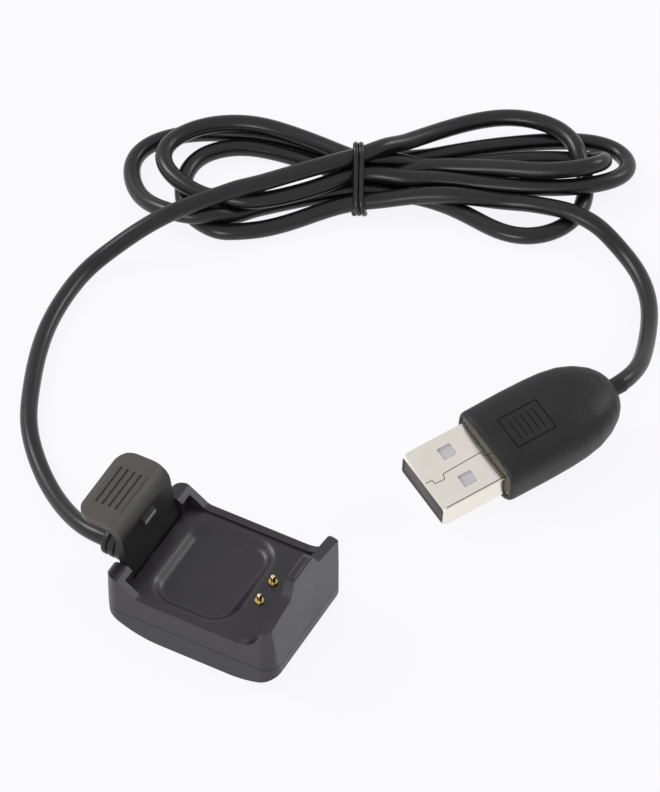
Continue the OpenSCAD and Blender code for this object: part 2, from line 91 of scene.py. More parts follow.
def softened(node, finish, body, width, name=None, angle=30, segments=3, change=None):
    """A copy of a CAD node with its triangles merged and its sharp edges rounded, in its place.
    change, when given, takes the copy's points in millimetres and gives them back moved."""
    source = nodes[node].data
    mesh = bpy.data.meshes.new(name or node + "_moulded")
    work = bmesh.new()
    work.from_mesh(source)
    bmesh.ops.remove_doubles(work, verts=work.verts, dist=2e-6)
    bmesh.ops.dissolve_degenerate(work, edges=work.edges, dist=1e-6)
    bmesh.ops.dissolve_limit(
        work, angle_limit=math.radians(0.6), verts=work.verts, edges=work.edges
    )
    bmesh.ops.recalc_face_normals(work, faces=work.faces)
    work.to_mesh(mesh)
    work.free()
    if change:
        flat = np.empty(len(mesh.vertices) * 3, np.float32)
        mesh.vertices.foreach_get("co", flat)
        flat = change(flat.reshape(-1, 3) / MM) * MM
        mesh.vertices.foreach_set("co", flat.astype(np.float32).ravel())
        mesh.update()
    mesh.materials.clear()
    mesh.materials.append(finish)
    made = bpy.data.objects.new(mesh.name, mesh)
    bpy.context.scene.collection.objects.link(made)
    mesh.shade_smooth()
    bevel = made.modifiers.new("rounded_edges", "BEVEL")
    bevel.width = width * MM
    bevel.segments = segments
    bevel.limit_method = "ANGLE"
    bevel.angle_limit = math.radians(angle)
    even = made.modifiers.new("even_shading", "WEIGHTED_NORMAL")
    even.weight = 60
    even.keep_sharp = False
    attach(made, body)
    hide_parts(node)
    return made


def turned(profile, centre, axis, sides=40):
    """Points of a profile of (along, radius) pairs turned about an axis through centre."""
    axis = np.asarray(axis, float) / np.linalg.norm(axis)
    side = np.cross(axis, [0, 0, 1] if abs(axis[2]) < 0.9 else [1, 0, 0])
    side /= np.linalg.norm(side)
    over = np.cross(axis, side)
    profile = np.asarray(profile, float)
    a = np.linspace(0, 2 * math.pi, sides, endpoint=False)
    ring = np.cos(a)[:, None] * side + np.sin(a)[:, None] * over
    points = (
        np.asarray(centre, float)
        + profile[:, 0, None, None] * axis
        + profile[:, 1, None, None] * ring[None]
    )
    return points.reshape(-1, 3)


def rounded_outline(half_w, half_h, radius, count=12):
    """Outline of a rectangle with round corners, half_w by half_h from its middle."""
    a = np.linspace(0, math.pi / 2, count)
    arcs = []
    for k, (sx, sy) in enumerate(((1, 1), (-1, 1), (-1, -1), (1, -1))):
        t = a + k * math.pi / 2
        middle = [sx * (half_w - radius), sy * (half_h - radius)]
        arcs.append(np.stack([np.cos(t), np.sin(t)], 1) * radius + middle)
    return np.concatenate(arcs)


# ---- finishes ----


def group(name, inputs, outputs):
    """An empty shader node group with named sockets."""
    tree = bpy.data.node_groups.new(name, "ShaderNodeTree")
    for label, kind, value in inputs:
        s = tree.interface.new_socket(label, in_out="INPUT", socket_type=kind)
        if value is not None:
            s.default_value = value
    for label, kind in outputs:
        tree.interface.new_socket(label, in_out="OUTPUT", socket_type=kind)
    return tree, tree.nodes.new("NodeGroupInput"), tree.nodes.new("NodeGroupOutput")


def ramp(tree, value, low, high, to_low=0.0, to_high=1.0):
    """Map Range node from low..high to to_low..to_high, clamped. Returns its result socket."""
    n = tree.nodes.new("ShaderNodeMapRange")
    n.inputs["From Min"].default_value = low
    n.inputs["From Max"].default_value = high
    n.inputs["To Min"].default_value = to_low
    n.inputs["To Max"].default_value = to_high
    tree.links.new(value, n.inputs["Value"])
    return n.outputs["Result"]


def sums(tree, operation, a, b):
    """Math node of two values, either of which may be a socket or a number."""
    n = tree.nodes.new("ShaderNodeMath")
    n.operation = operation
    for k, x in enumerate((a, b)):
        if isinstance(x, (int, float)):
            n.inputs[k].default_value = x
        else:
            tree.links.new(x, n.inputs[k])
    return n.outputs[0]


def make_grain():
    """Spark-eroded or leather-like relief: round cells broken up by a finer noise."""
    tree, gin, out = group(
        "moulded_grain",
        [("Vector", "NodeSocketVector", None), ("Cells", "NodeSocketFloat", 3000.0),
         ("Fine", "NodeSocketFloat", 9000.0), ("Cell Share", "NodeSocketFloat", 0.6)],
        [("Height", "NodeSocketFloat")],
    )
    cells = tree.nodes.new("ShaderNodeTexVoronoi")
    cells.feature = "SMOOTH_F1"
    cells.inputs["Smoothness"].default_value = 0.6
    fine = tree.nodes.new("ShaderNodeTexNoise")
    fine.inputs["Detail"].default_value = 3.0
    for n, label in ((cells, "Cells"), (fine, "Fine")):
        tree.links.new(gin.outputs["Vector"], n.inputs["Vector"])
        tree.links.new(gin.outputs[label], n.inputs["Scale"])
    mix = tree.nodes.new("ShaderNodeMix")
    tree.links.new(gin.outputs["Cell Share"], mix.inputs["Factor"])
    tree.links.new(fine.outputs["Fac"], mix.inputs["A"])
    tree.links.new(cells.outputs["Distance"], mix.inputs["B"])
    tree.links.new(mix.outputs["Result"], out.inputs["Height"])
    return tree


def make_tone():
    """Slow change of colour and gloss over a moulding, with fine lint-like specks."""
    tree, gin, out = group(
        "handled_tone",
        [("Vector", "NodeSocketVector", None), ("Base", "NodeSocketColor", None),
         ("Light", "NodeSocketColor", None), ("Scale", "NodeSocketFloat", 120.0),
         ("Gloss", "NodeSocketFloat", 0.4), ("Gloss Range", "NodeSocketFloat", 0.08),
         ("Specks", "NodeSocketFloat", 0.3)],
        [("Color", "NodeSocketColor"), ("Roughness", "NodeSocketFloat")],
    )
    slow = tree.nodes.new("ShaderNodeTexNoise")
    slow.inputs["Detail"].default_value = 4.0
    slow.inputs["Roughness"].default_value = 0.6
    fine = tree.nodes.new("ShaderNodeTexNoise")
    fine.inputs["Scale"].default_value = 5200.0
    fine.inputs["Detail"].default_value = 2.0
    tree.links.new(gin.outputs["Vector"], slow.inputs["Vector"])
    tree.links.new(gin.outputs["Vector"], fine.inputs["Vector"])
    tree.links.new(gin.outputs["Scale"], slow.inputs["Scale"])
    blotch = ramp(tree, slow.outputs["Fac"], 0.38, 0.66, 0.0, 0.55)
    speck = sums(tree, "MULTIPLY", ramp(tree, fine.outputs["Fac"], 0.62, 0.74),
                 gin.outputs["Specks"])
    fac = sums(tree, "MAXIMUM", blotch, speck)
    mix = tree.nodes.new("ShaderNodeMix")
    mix.data_type = "RGBA"
    tree.links.new(fac, mix.inputs["Factor"])
    tree.links.new(gin.outputs["Base"], mix.inputs["A"])
    tree.links.new(gin.outputs["Light"], mix.inputs["B"])
    tree.links.new(mix.outputs["Result"], out.inputs["Color"])
    swing = sums(tree, "MULTIPLY", ramp(tree, slow.outputs["Fac"], 0.3, 0.7, -1.0, 1.0),
                 gin.outputs["Gloss Range"])
    tree.links.new(sums(tree, "ADD", gin.outputs["Gloss"], swing), out.inputs["Roughness"])
    return tree


def make_streaks():
    """Fine lines drawn along a surface: noise that is stretched along one direction."""
    tree, gin, out = group(
        "drawn_streaks",
        [("Vector", "NodeSocketVector", None), ("Along", "NodeSocketFloat", 60.0),
         ("Across", "NodeSocketFloat", 4000.0)],
        [("Height", "NodeSocketFloat")],
    )
    scale = tree.nodes.new("ShaderNodeCombineXYZ")
    tree.links.new(gin.outputs["Along"], scale.inputs["X"])
    tree.links.new(gin.outputs["Across"], scale.inputs["Y"])
    tree.links.new(gin.outputs["Across"], scale.inputs["Z"])
    times = tree.nodes.new("ShaderNodeVectorMath")
    times.operation = "MULTIPLY"
    tree.links.new(gin.outputs["Vector"], times.inputs[0])
    tree.links.new(scale.outputs["Vector"], times.inputs[1])
    lines = tree.nodes.new("ShaderNodeTexNoise")
    lines.inputs["Scale"].default_value = 1.0
    lines.inputs["Detail"].default_value = 3.0
    tree.links.new(times.outputs["Vector"], lines.inputs["Vector"])
    tree.links.new(lines.outputs["Fac"], out.inputs["Height"])
    return tree


GRAIN, TONE, STREAKS = make_grain(), make_tone(), make_streaks()


def finish(name, base, light, rough, rough_range=0.06, cells=3000.0, fine=9000.0,
           share=0.5, depth=0.01, metallic=0.0, coat=0.0, specks=0.3, blotch=120.0,
           streaks=None, follow=None, specular=0.5, parting=None, painted_top_light=None):
    """A procedural finish: toned colour and gloss, and a moulded grain or drawn streaks in relief.
    parting is the height in millimetres of a dark parting line all round. The last argument is two
    heights in millimetres between which the colour goes over to a third: painted light, a lighter top
    where the light falls.
    base and light are linear colours, depth is in millimetres, and follow is a surface attribute."""
    m = bpy.data.materials.new(name)
    m.use_nodes = True
    t = m.node_tree
    shader = t.nodes["Principled BSDF"]
    if follow:
        place = t.nodes.new("ShaderNodeAttribute")
        place.attribute_name = follow
        vector = place.outputs["Vector"]
    else:
        place = t.nodes.new("ShaderNodeTexCoord")
        vector = place.outputs["Object"]
    tone = t.nodes.new("ShaderNodeGroup")
    tone.node_tree = TONE
    tone.inputs["Base"].default_value = (*base, 1)
    tone.inputs["Light"].default_value = (*light, 1)
    tone.inputs["Scale"].default_value = blotch
    tone.inputs["Gloss"].default_value = rough
    tone.inputs["Gloss Range"].default_value = rough_range
    tone.inputs["Specks"].default_value = specks
    t.links.new(vector, tone.inputs["Vector"])
    colour = tone.outputs["Color"]
    if parting is not None:
        apart = t.nodes.new("ShaderNodeSeparateXYZ")
        t.links.new(vector, apart.inputs["Vector"])
        off = sums(t, "ABSOLUTE", sums(t, "SUBTRACT", apart.outputs["Z"], parting * MM), 0.0)
        mix = t.nodes.new("ShaderNodeMix")
        mix.data_type = "RGBA"
        t.links.new(ramp(t, off, 0.00012, 0.0002, 1.0, 0.0), mix.inputs["Factor"])
        t.links.new(colour, mix.inputs["A"])
        mix.inputs["B"].default_value = (0.001, 0.001, 0.001, 1)
        colour = mix.outputs["Result"]
    # Painted light: towards the top the colour goes over to a lighter one, where the light falls on
    # the latch's tab.
    if painted_top_light is not None:
        apart = t.nodes.new("ShaderNodeSeparateXYZ")
        t.links.new(vector, apart.inputs["Vector"])
        mix = t.nodes.new("ShaderNodeMix")
        mix.data_type = "RGBA"
        height = ramp(t, apart.outputs["Z"], painted_top_light[0] * MM, painted_top_light[1] * MM)
        t.links.new(height, mix.inputs["Factor"])
        t.links.new(colour, mix.inputs["A"])
        mix.inputs["B"].default_value = (*painted_top_light[2], 1)
        colour = mix.outputs["Result"]
    t.links.new(colour, shader.inputs["Base Color"])
    t.links.new(tone.outputs["Roughness"], shader.inputs["Roughness"])
    relief = t.nodes.new("ShaderNodeGroup")
    relief.node_tree = STREAKS if streaks else GRAIN
    if streaks:
        relief.inputs["Along"].default_value = streaks[0]
        relief.inputs["Across"].default_value = streaks[1]
    else:
        relief.inputs["Cells"].default_value = cells
        relief.inputs["Fine"].default_value = fine
        relief.inputs["Cell Share"].default_value = share
    t.links.new(vector, relief.inputs["Vector"])
    bump = t.nodes.new("ShaderNodeBump")
    bump.inputs["Distance"].default_value = depth * MM
    t.links.new(relief.outputs["Height"], bump.inputs["Height"])
    normal = bump.outputs["Normal"]
    if parting is not None:
        groove = t.nodes.new("ShaderNodeBump")
        groove.inputs["Distance"].default_value = 0.00025
        t.links.new(ramp(t, off, 0.00004, 0.00018), groove.inputs["Height"])
        t.links.new(normal, groove.inputs["Normal"])
        normal = groove.outputs["Normal"]
    t.links.new(normal, shader.inputs["Normal"])
    shader.inputs["Metallic"].default_value = metallic
    shader.inputs["Coat Weight"].default_value = coat
    shader.inputs["Coat Roughness"].default_value = 0.2
    shader.inputs["Specular IOR Level"].default_value = specular
    return m


shell_black = finish("satin_black_shell", (0.0135, 0.0108, 0.0135), (0.021, 0.0172, 0.021), 0.34,
                     cells=2600, fine=8000, depth=0.005, parting=4.2, specular=0.55)
cover_black = finish("satin_black_cover", (0.0135, 0.011, 0.0135), (0.021, 0.0175, 0.021), 0.36,
                     cells=2600, fine=8000, depth=0.005, parting=4.2, specular=0.55)
# Painted highlight: above 15.2 mm the black latch goes over to a much lighter colour, for the light
# falling on its tab's top.
latch_black_painted_top = finish("warm_black_latch", (0.010, 0.0095, 0.0095), (0.016, 0.015, 0.0148), 0.46,
                    cells=4200, fine=11000, depth=0.012, specks=0.5, specular=0.35,
                    painted_top_light=(15.2, 17.7, (0.088, 0.080, 0.073)))
# Painted highlight: a pale grey for the light caught by the top of the latch's black moulded catch
# tooth.
tooth_painted_highlight = finish("painted_catch_highlight", (0.20, 0.20, 0.21), (0.28, 0.28, 0.29), 0.45, depth=0.004)
jacket_black = finish("soft_cord_jacket", (0.0060, 0.0058, 0.0066), (0.0105, 0.010, 0.0115), 0.31,
                      streaks=(160.0, 5200.0), depth=0.006, follow="run", specks=0.35, blotch=90,
                      specular=0.45)
relief_black = finish("moulded_relief", (0.008, 0.0078, 0.0085), (0.013, 0.0125, 0.014), 0.42,
                      cells=3600, depth=0.01, specular=0.4)
tie_black = finish("coated_tie_wire", (0.007, 0.007, 0.0078), (0.013, 0.013, 0.014), 0.28,
                   streaks=(300.0, 6000.0), depth=0.01, follow="run")
grip_black = finish("leather_grain_grip", (0.010, 0.0095, 0.0102), (0.018, 0.017, 0.018), 0.45,
                    cells=3300, fine=9000, share=0.75, depth=0.055, specks=0.4, specular=0.35)
# Painted shade: the near-black of the mark's strips stands for the shade inside its engraved grooves.
mark_painted_shade = finish("painted_groove_shade_mark", (0.0015, 0.0015, 0.0015), (0.003, 0.003, 0.003), 0.6,
                    depth=0.004, specks=0.1, specular=0.15)
nickel = finish("polished_nickel", (0.88, 0.84, 0.75), (0.93, 0.90, 0.83), 0.2, 0.04,
                streaks=(500.0, 9000.0), depth=0.0012, metallic=1.0, specks=0.1)
bronze = finish("dull_inner_metal", (0.085, 0.078, 0.055), (0.13, 0.12, 0.085), 0.45,
                streaks=(500.0, 5000.0), depth=0.002, metallic=0.3)
# Dark for the shell's seam joint, and painted shade for the dark reflection along the shell's top
# edge.
joint_and_edge_shade = finish("seam_joint_and_painted_edge_reflection", (0.02, 0.018, 0.015), (0.04, 0.035, 0.03), 0.5, depth=0.001)
gold = finish("gold_plating", (0.62, 0.43, 0.15), (0.78, 0.57, 0.25), 0.26, 0.05,
              streaks=(800.0, 9000.0), depth=0.001, metallic=1.0, specks=0.1)
pin_tip = finish("bright_pin_tip", (0.72, 0.56, 0.32), (0.9, 0.78, 0.55), 0.15, 0.03,
                 streaks=(900.0, 9000.0), depth=0.0008, metallic=1.0, specks=0.05)
insulator = finish("pale_insulator", (0.58, 0.56, 0.59), (0.68, 0.66, 0.69), 0.45, depth=0.004)
# Partly the tongue's dark insulator nose and partly painted shade, for the shadowed opening of the
# shell's mouth.
mouth_shade_and_nose = finish("painted_mouth_shade_and_insulator_nose", (0.022, 0.017, 0.016), (0.04, 0.03, 0.028), 0.4,
                   depth=0.004)
carrier = finish("contact_carrier_moulding", (0.05, 0.046, 0.04), (0.08, 0.075, 0.066), 0.5)
board_green = finish("solder_mask", (0.012, 0.11, 0.055), (0.02, 0.16, 0.085), 0.3,
                     cells=1800, depth=0.003, coat=0.3)
ceramic = finish("fired_ceramic", (0.66, 0.63, 0.57), (0.76, 0.73, 0.68), 0.6, depth=0.004)
wire_red = finish("wire_insulation", (0.42, 0.03, 0.022), (0.52, 0.05, 0.04), 0.35, depth=0.004)
steel = finish("spring_steel_wire", (0.52, 0.53, 0.55), (0.68, 0.69, 0.71), 0.28, 0.06,
               streaks=(700.0, 9000.0), depth=0.001, metallic=1.0)
mould_white = finish("inner_mould", (0.68, 0.65, 0.58), (0.76, 0.73, 0.67), 0.5, depth=0.004)

# ---- the cord's way, in millimetres ----
CORD_D = 2.8
HANK_AT = np.array([-25.0, 88.0, 0.0])
HANK_TURN = math.radians(27)
U = np.array([math.cos(HANK_TURN), math.sin(HANK_TURN), 0.0])
V = np.array([-math.sin(HANK_TURN), math.cos(HANK_TURN), 0.0])
UP = np.array([0.0, 0.0, 1.0])
TIE_OFF = 0.5
ROW = CORD_D * math.sqrt(3) / 2
TIE_T = 1.0


def on_hank(points):
    """Points given along the hank, across it and up, as points of the frame."""
    p = np.asarray(points, float)
    return HANK_AT + p[:, :1] * U + p[:, 1:2] * V + p[:, 2:3] * UP


LEAD_CRADLE = [
    [-21.65, 0, 5.1], [-22.65, 0, 5.1], [-26, 0.8, 4.3], [-30.4, 3.2, 3], [-34.8, 6.3, 1.9],
    [-39, 9.8, 1.4], [-43.2, 14, 1.4], [-46.8, 18.8, 1.4], [-49.8, 25, 1.4],
    [-52.4, 31.5, 1.4], [-54.2, 38, 1.4], [-55, 45, 1.4], [-54.8, 52, 1.4],
]
OVER_THE_LEFT = [
    [-40, -16.4, 2.6], [-35.5, -13.8, 4.8], [-30.5, -11.5, 6.7], [-24, -8.1, 7.1],
    [-17.5, -5.2, 7.0], [-11, -2.3, 7.0], [-5, 0.2, 7.1], [0, 1.9, 7.28],
]
FIRST_RIGHT = [
    [3.2, 4.0, 6.6], [6.5, 6.4, 5.6], [12, 10.6, 4.2], [18, 13.8, 3.6], [23.5, 14.8, 3.9],
    [28.5, 13.9, 4.2], [32.4, 11.9, 4.3], [34.9, 8.9, 4.2], [36.2, 5.6, 3.2], [36.8, 2, 1.7],
    [36.6, -1.8, 1.4], [35, -5.6, 1.4], [31.6, -8.7, 1.4], [27, -9.9, 1.4], [22.5, -8.6, 1.4],
    [18.3, -5.6, 1.4], [14.2, -3, 1.4], [9, -1.2, 1.5], [4.5, -0.9, 1.8], [0, -0.9, 2.42],
]
FIRST_LEFT = [
    [-4.5, -1.3, 1.8], [-10.5, -2.7, 1.4], [-16, -4.6, 1.5], [-21.5, -7.6, 3],
    [-25.5, -9.6, 4.2], [-29.3, -8.8, 4.2], [-33.4, -5.8, 2.9], [-36, -1.6, 1.5],
    [-37.2, 3, 1.4], [-36.6, 6.9, 1.4], [-33.8, 9.9, 1.4], [-29.5, 11.7, 1.4],
    [-25, 12.3, 1.4], [-20, 12.2, 1.4], [-14, 11, 1.4], [-9, 9.2, 1.5], [-4.5, 7, 1.9],
    [0, 4.7, 2.42],
]
SECOND_RIGHT = [
    [6, 6.2, 1.6], [12, 8.0, 1.4], [19, 9.9, 1.4], [24.5, 11.0, 1.4], [30, 11.8, 1.4],
    [36, 12.0, 1.4], [40.8, 10.9, 1.4], [43.5, 8, 1.6], [43.6, 4.1, 2.6], [40.6, 0.8, 3.7],
    [35.5, -1.1, 4.2], [28.5, -1.4, 4.2], [19, -0.6, 4.2], [12.5, 0.1, 4.2],
    [6, 0.2, 4.5], [0, 0.5, 4.85],
]
SECOND_LEFT = [
    [-5, -2, 4.7], [-10.5, -4.1, 4.3], [-15.5, -5.6, 4.2], [-20.5, -6.3, 4.2],
    [-25, -4.8, 4.2], [-28.4, -2.4, 4.2], [-31, 0.6, 4.2], [-32.2, 3.7, 4.2],
    [-31.5, 6.8, 4.2], [-28.7, 9.5, 4.2], [-25, 11.3, 4.2], [-20.5, 12, 4.2],
    [-16, 11.5, 4.2], [-10.5, 9.2, 4.3], [-5, 6.2, 4.6], [0, 3.3, 4.85],
]
THIRD_RIGHT = [
    [5.5, 4.2, 3.4], [12.5, 5.0, 1.7], [19, 6.3, 1.4], [25, 7.3, 1.4], [30, 7.8, 1.4],
    [34.5, 7.7, 1.5], [38.2, 7.0, 2.4], [40, 5.2, 4.3], [39.6, 2.8, 6.0], [37, 0.9, 6.8],
    [33.2, 0.1, 6.8], [28.5, 0.1, 6.5], [23.5, 0.9, 5.8], [18, 2.0, 5], [12.5, 2.8, 4.2],
    [6, 2.6, 3.2], [0, 1.9, 2.42],
]
THIRD_LEFT = [
    [-4, 4, 1.9], [-8, 6.1, 1.5], [-12.5, 8, 1.4], [-17.5, 9.2, 1.4], [-22, 8.9, 1.4],
    [-25.8, 7.2, 1.4], [-27.8, 4.4, 1.4], [-28.6, 1.3, 1.4], [-28.6, -1.6, 1.4],
    [-28.2, -4.4, 1.4], [-27, -6.9, 1.4], [-24.6, -8.8, 1.4], [-21.3, -9.9, 1.4],
    [-17.8, -9.9, 1.4], [-13.3, -8.7, 1.4], [-8.5, -6.6, 1.6], [-4.2, -4.7, 2],
    [0, -3.7, 2.42],
]
OUT_TO_THE_PLUG = [
    [5, -3.4, 2.9], [9.5, -3.3, 3.8], [14, -3.5, 4.2], [19, -3.5, 3.7], [24.5, -3.5, 3.1],
    [29.5, -4.8, 3.6], [34.5, -6.8, 4.2],
]
LEAD_PLUG = [
    [13.4, 97.8, 3.4], [17.5, 96.6, 1.8], [21.3, 94.6, 1.4], [24.6, 91.9, 1.4],
    [27.2, 88.8, 1.5], [29.4, 85, 1.9], [31.5, 80, 3.0], [33.6, 74.2, 4.8], [34.6, 70, 6.3],
]

# the plug's own frame: nose along its +X, grip face at its x = 0
PLUG_AT = np.array([22.4, 42.8, 6.0])
roll, pitch, yaw = (math.radians(a) for a in (-10, 4, 241.5))
PLUG_TURN = (
    np.array([[math.cos(yaw), -math.sin(yaw), 0], [math.sin(yaw), math.cos(yaw), 0], [0, 0, 1]])
    @ np.array([[math.cos(pitch), 0, math.sin(pitch)], [0, 1, 0],
                [-math.sin(pitch), 0, math.cos(pitch)]])
    @ np.array([[1, 0, 0], [0, math.cos(roll), -math.sin(roll)],
                [0, math.sin(roll), math.cos(roll)]])
)
GRIP_L, GRIP_NOSE = 23.8, 0.7


def on_plug(points):
    """Points in the plug's own frame as points of the frame."""
    return PLUG_AT + np.asarray(points, float) @ PLUG_TURN.T


def through(points, fine=12):
    """A smooth line through given points: each stretch is the cubic whose slope at a point
    is half the step between that point's two neighbours."""
    p = np.asarray(points, float)
    q = np.concatenate([[2 * p[0] - p[1]], p, [2 * p[-1] - p[-2]]])
    t = np.linspace(0, 1, fine, endpoint=False)[None, :, None]
    a, b, c, d = (q[k : len(q) - 3 + k, None, :] for k in range(4))
    s = 0.5 * (2 * b + (c - a) * t + (2 * a - 5 * b + 4 * c - d) * t**2
               + (3 * b - a - 3 * c + d) * t**3)
    return np.concatenate([s.reshape(-1, 3), p[-1:]])


def spaced(points, step):
    """The same line with its points a step apart."""
    s = np.concatenate([[0], np.cumsum(np.linalg.norm(np.diff(points, axis=0), axis=1))])
    at = np.linspace(0, s[-1], int(round(s[-1] / step)) + 1)
    return np.stack([np.interp(at, s, points[:, k]) for k in range(3)], 1)


def eased(points, step, reach):
    """The line with each point replaced by the bell-weighted mean of those around it."""
    w = int(4 * reach / step)
    bell = np.exp(-((np.arange(-w, w + 1) * step) ** 2) / 2 / reach**2)
    q = np.concatenate([2 * points[0] - points[w:0:-1], points,
                        2 * points[-1] - points[-2 : -w - 2 : -1]])
    return np.stack([np.convolve(q[:, k], bell / bell.sum(), "valid") for k in range(3)], 1)


def parted(points, step, thick, rounds=60):
    """Strands that lie nearer than a diameter push each other apart, each by half of what is
    missing, and none sinks below the surface that the cord lies on."""
    p = points.copy()
    i = np.arange(len(p))
    far = np.abs(i[:, None] - i[None, :]) * step > 3.2 * thick
    for _ in range(rounds):
        d = p[:, None, :] - p[None, :, :]
        gap = np.sqrt((d * d).sum(-1)) + 1e-9
        near = far & (gap < thick)
        push = (np.where(near, (thick - gap) / 2, 0)[..., None] * d / gap[..., None]).sum(1)
        move = eased(1.2 * push / np.maximum(near.sum(1), 1)[:, None], step, 1.2)
        move[:6] = 0
        move[-20:] = 0
        p += move
        p[:, 2] = np.maximum(p[:, 2], thick / 2)
    return p


def sweep(line, outline, up=(0.0, 0.0, 1.0), size=1.0):
    """An outline of (across, over) points carried along a line, square to it. up gives the
    direction that the outline's second axis keeps to as far as it can, size scales each ring."""
    run = np.gradient(line, axis=0)
    run /= np.linalg.norm(run, axis=1)[:, None]
    across = np.cross(run, np.broadcast_to(np.asarray(up, float), run.shape))
    across /= np.linalg.norm(across, axis=1)[:, None]
    over = np.cross(across, run)
    o = np.asarray(outline, float)[None] * np.broadcast_to(size, len(line))[:, None, None]
    ring = line[:, None] + o[..., :1] * across[:, None] + o[..., 1:] * over[:, None]
    return ring.reshape(-1, 3)


def runs(obj, line, outline):
    """Writes for each point how far along its line it is and where on the outline, in metres,
    so that a pattern follows the cord through its bends."""
    s = np.concatenate([[0], np.cumsum(np.linalg.norm(np.diff(line, axis=0), axis=1))])
    o = np.asarray(outline, float)
    place = np.zeros((len(line), len(o), 3), np.float32)
    place[..., 0] = s[:, None]
    place[..., 1:] = o[None]
    kept = obj.data.attributes.new("run", "FLOAT_VECTOR", "POINT")
    kept.data.foreach_set("vector", (place * MM).ravel())


def ring_of(radius, sides, flat=1.0):
    a = np.linspace(0, 2 * math.pi, sides, endpoint=False)
    return np.stack([radius * np.cos(a), radius * flat * np.sin(a)], 1)


step = 0.8
hank = OVER_THE_LEFT + FIRST_RIGHT + FIRST_LEFT + SECOND_RIGHT + SECOND_LEFT
hank += THIRD_RIGHT + THIRD_LEFT + OUT_TO_THE_PLUG
tail_end = on_plug([[-25.2, 0, 0], [-24, 0, 0], [-22.4, 0, 0]])
way = np.concatenate([LEAD_CRADLE, on_hank(hank), LEAD_PLUG, tail_end])
way = eased(spaced(through(way), step), step, 2.0)
way[:, 2] = np.maximum(way[:, 2], CORD_D / 2)
way = eased(parted(way, step, CORD_D), step, 0.8)
way = spaced(way, step)
cord_ring = ring_of(CORD_D / 2, 28)
to_end = np.linalg.norm(way - way[-1], axis=1)
snug = 1 + 0.035 * np.clip((6.5 - to_end) / 2.5, 0, 1)
cord_piece = piece("cord_jacket", sweep(way, cord_ring, size=snug), closed_rings(len(way), 28),
                   jacket_black)
runs(cord_piece, way, cord_ring)
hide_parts("cord_lead_cradle", "cord_hank", "cord_lead_plug")

# ---- wire tie ----
WIRE_W, WIRE_T = 0.54, 0.48


def tie_line():
    """Two turns of wire round the cords in the tie.
    The turn follows the hull of the outer cords, held off by half a cord and half a wire."""
    rows = np.array([[-1.5, 0], [1.5, 0], [1, 1], [0.5, 2], [0, 1]]) * [CORD_D, ROW]
    rows = rows + [TIE_OFF, TIE_T + CORD_D / 2 + 0.02]
    a = np.linspace(-2.2, -2.2 + 4 * math.pi, 900)
    out = np.stack([np.cos(a), np.sin(a)], 1)
    held = rows[(out @ rows.T).argmax(1)] + out * (CORD_D / 2 + WIRE_T)
    along = np.linspace(-0.85, 0.85, len(a)) - 0.25 * out[:, 1]
    return on_hank(np.concatenate([along[:, None], held], 1))


tie = eased(spaced(tie_line(), 0.25), 0.25, 0.5)
tie_ring = ring_of(WIRE_W, 14, WIRE_T / WIRE_W)
tie_turns = piece("tie_turns", sweep(tie, tie_ring, up=U + 0.001), closed_rings(len(tie), 14),
                  tie_black)
runs(tie_turns, tie, tie_ring)
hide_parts("cord_tie")

# ---- cradle ----
FLOOR_Z, BAY_Z, BAY_X, BAY_L, BAY_W, BAY_R = 7.85, 6.65, -2.7, 15.8, 19.6, 5.0


def deeper_bay(p):
    """The foot of the bay's slope in the copy goes out and down, to make room for the lining."""
    inside = np.abs(p[:, 2] - BAY_Z) < 0.02
    inside &= (np.abs(p[:, 0] - BAY_X) < 5.2) & (np.abs(p[:, 1]) < 7.1)
    p[inside, 0] = BAY_X + (p[inside, 0] - BAY_X) * 1.3
    p[inside, 1] *= 1.39
    p[inside, 2] -= 0.15
    return p


def lining(rows=130, cols=150):
    """The tray's lining: a grid over the bay whose height falls with the distance e in from the
    bay's rounded outline as depth (6 t^5 - 15 t^4 + 10 t^3), t = e over the slope's width."""
    half_x, half_y = BAY_L / 2 + 0.6, BAY_W / 2 + 0.35
    x, y = np.meshgrid(np.linspace(-half_x, half_x, rows), np.linspace(-half_y, half_y, cols),
                       indexing="ij")
    qx, qy = np.abs(x) - (BAY_L / 2 - BAY_R), np.abs(y) - (BAY_W / 2 - BAY_R)
    out = np.hypot(np.maximum(qx, 0), np.maximum(qy, 0)) + np.minimum(np.maximum(qx, qy), 0)
    t = np.clip((BAY_R - out + 0.1) / 2.7, 0, 1)
    z = FLOOR_Z + 0.014 - 1.22 * t**3 * (6 * t * t - 15 * t + 10)
    top = np.stack([x + BAY_X, y, z], -1).reshape(-1, 3)
    low = top - [0, 0, 0.2]
    i, j = np.meshgrid(np.arange(rows - 1), np.arange(cols - 1), indexing="ij")
    a = i * cols + j
    up = np.stack([a, a + cols, a + cols + 1, a + 1], -1).reshape(-1, 4)
    rim = np.concatenate([np.arange(cols), np.arange(1, rows) * cols + cols - 1,
                          (rows - 1) * cols + np.arange(cols - 2, -1, -1),
                          np.arange(rows - 2, 0, -1) * cols])
    n = rows * cols
    wall = np.stack([rim, np.roll(rim, -1), np.roll(rim, -1) + n, rim + n], -1)
    return np.concatenate([top, low]), np.concatenate([up, up[:, ::-1] + n, wall]).tolist()


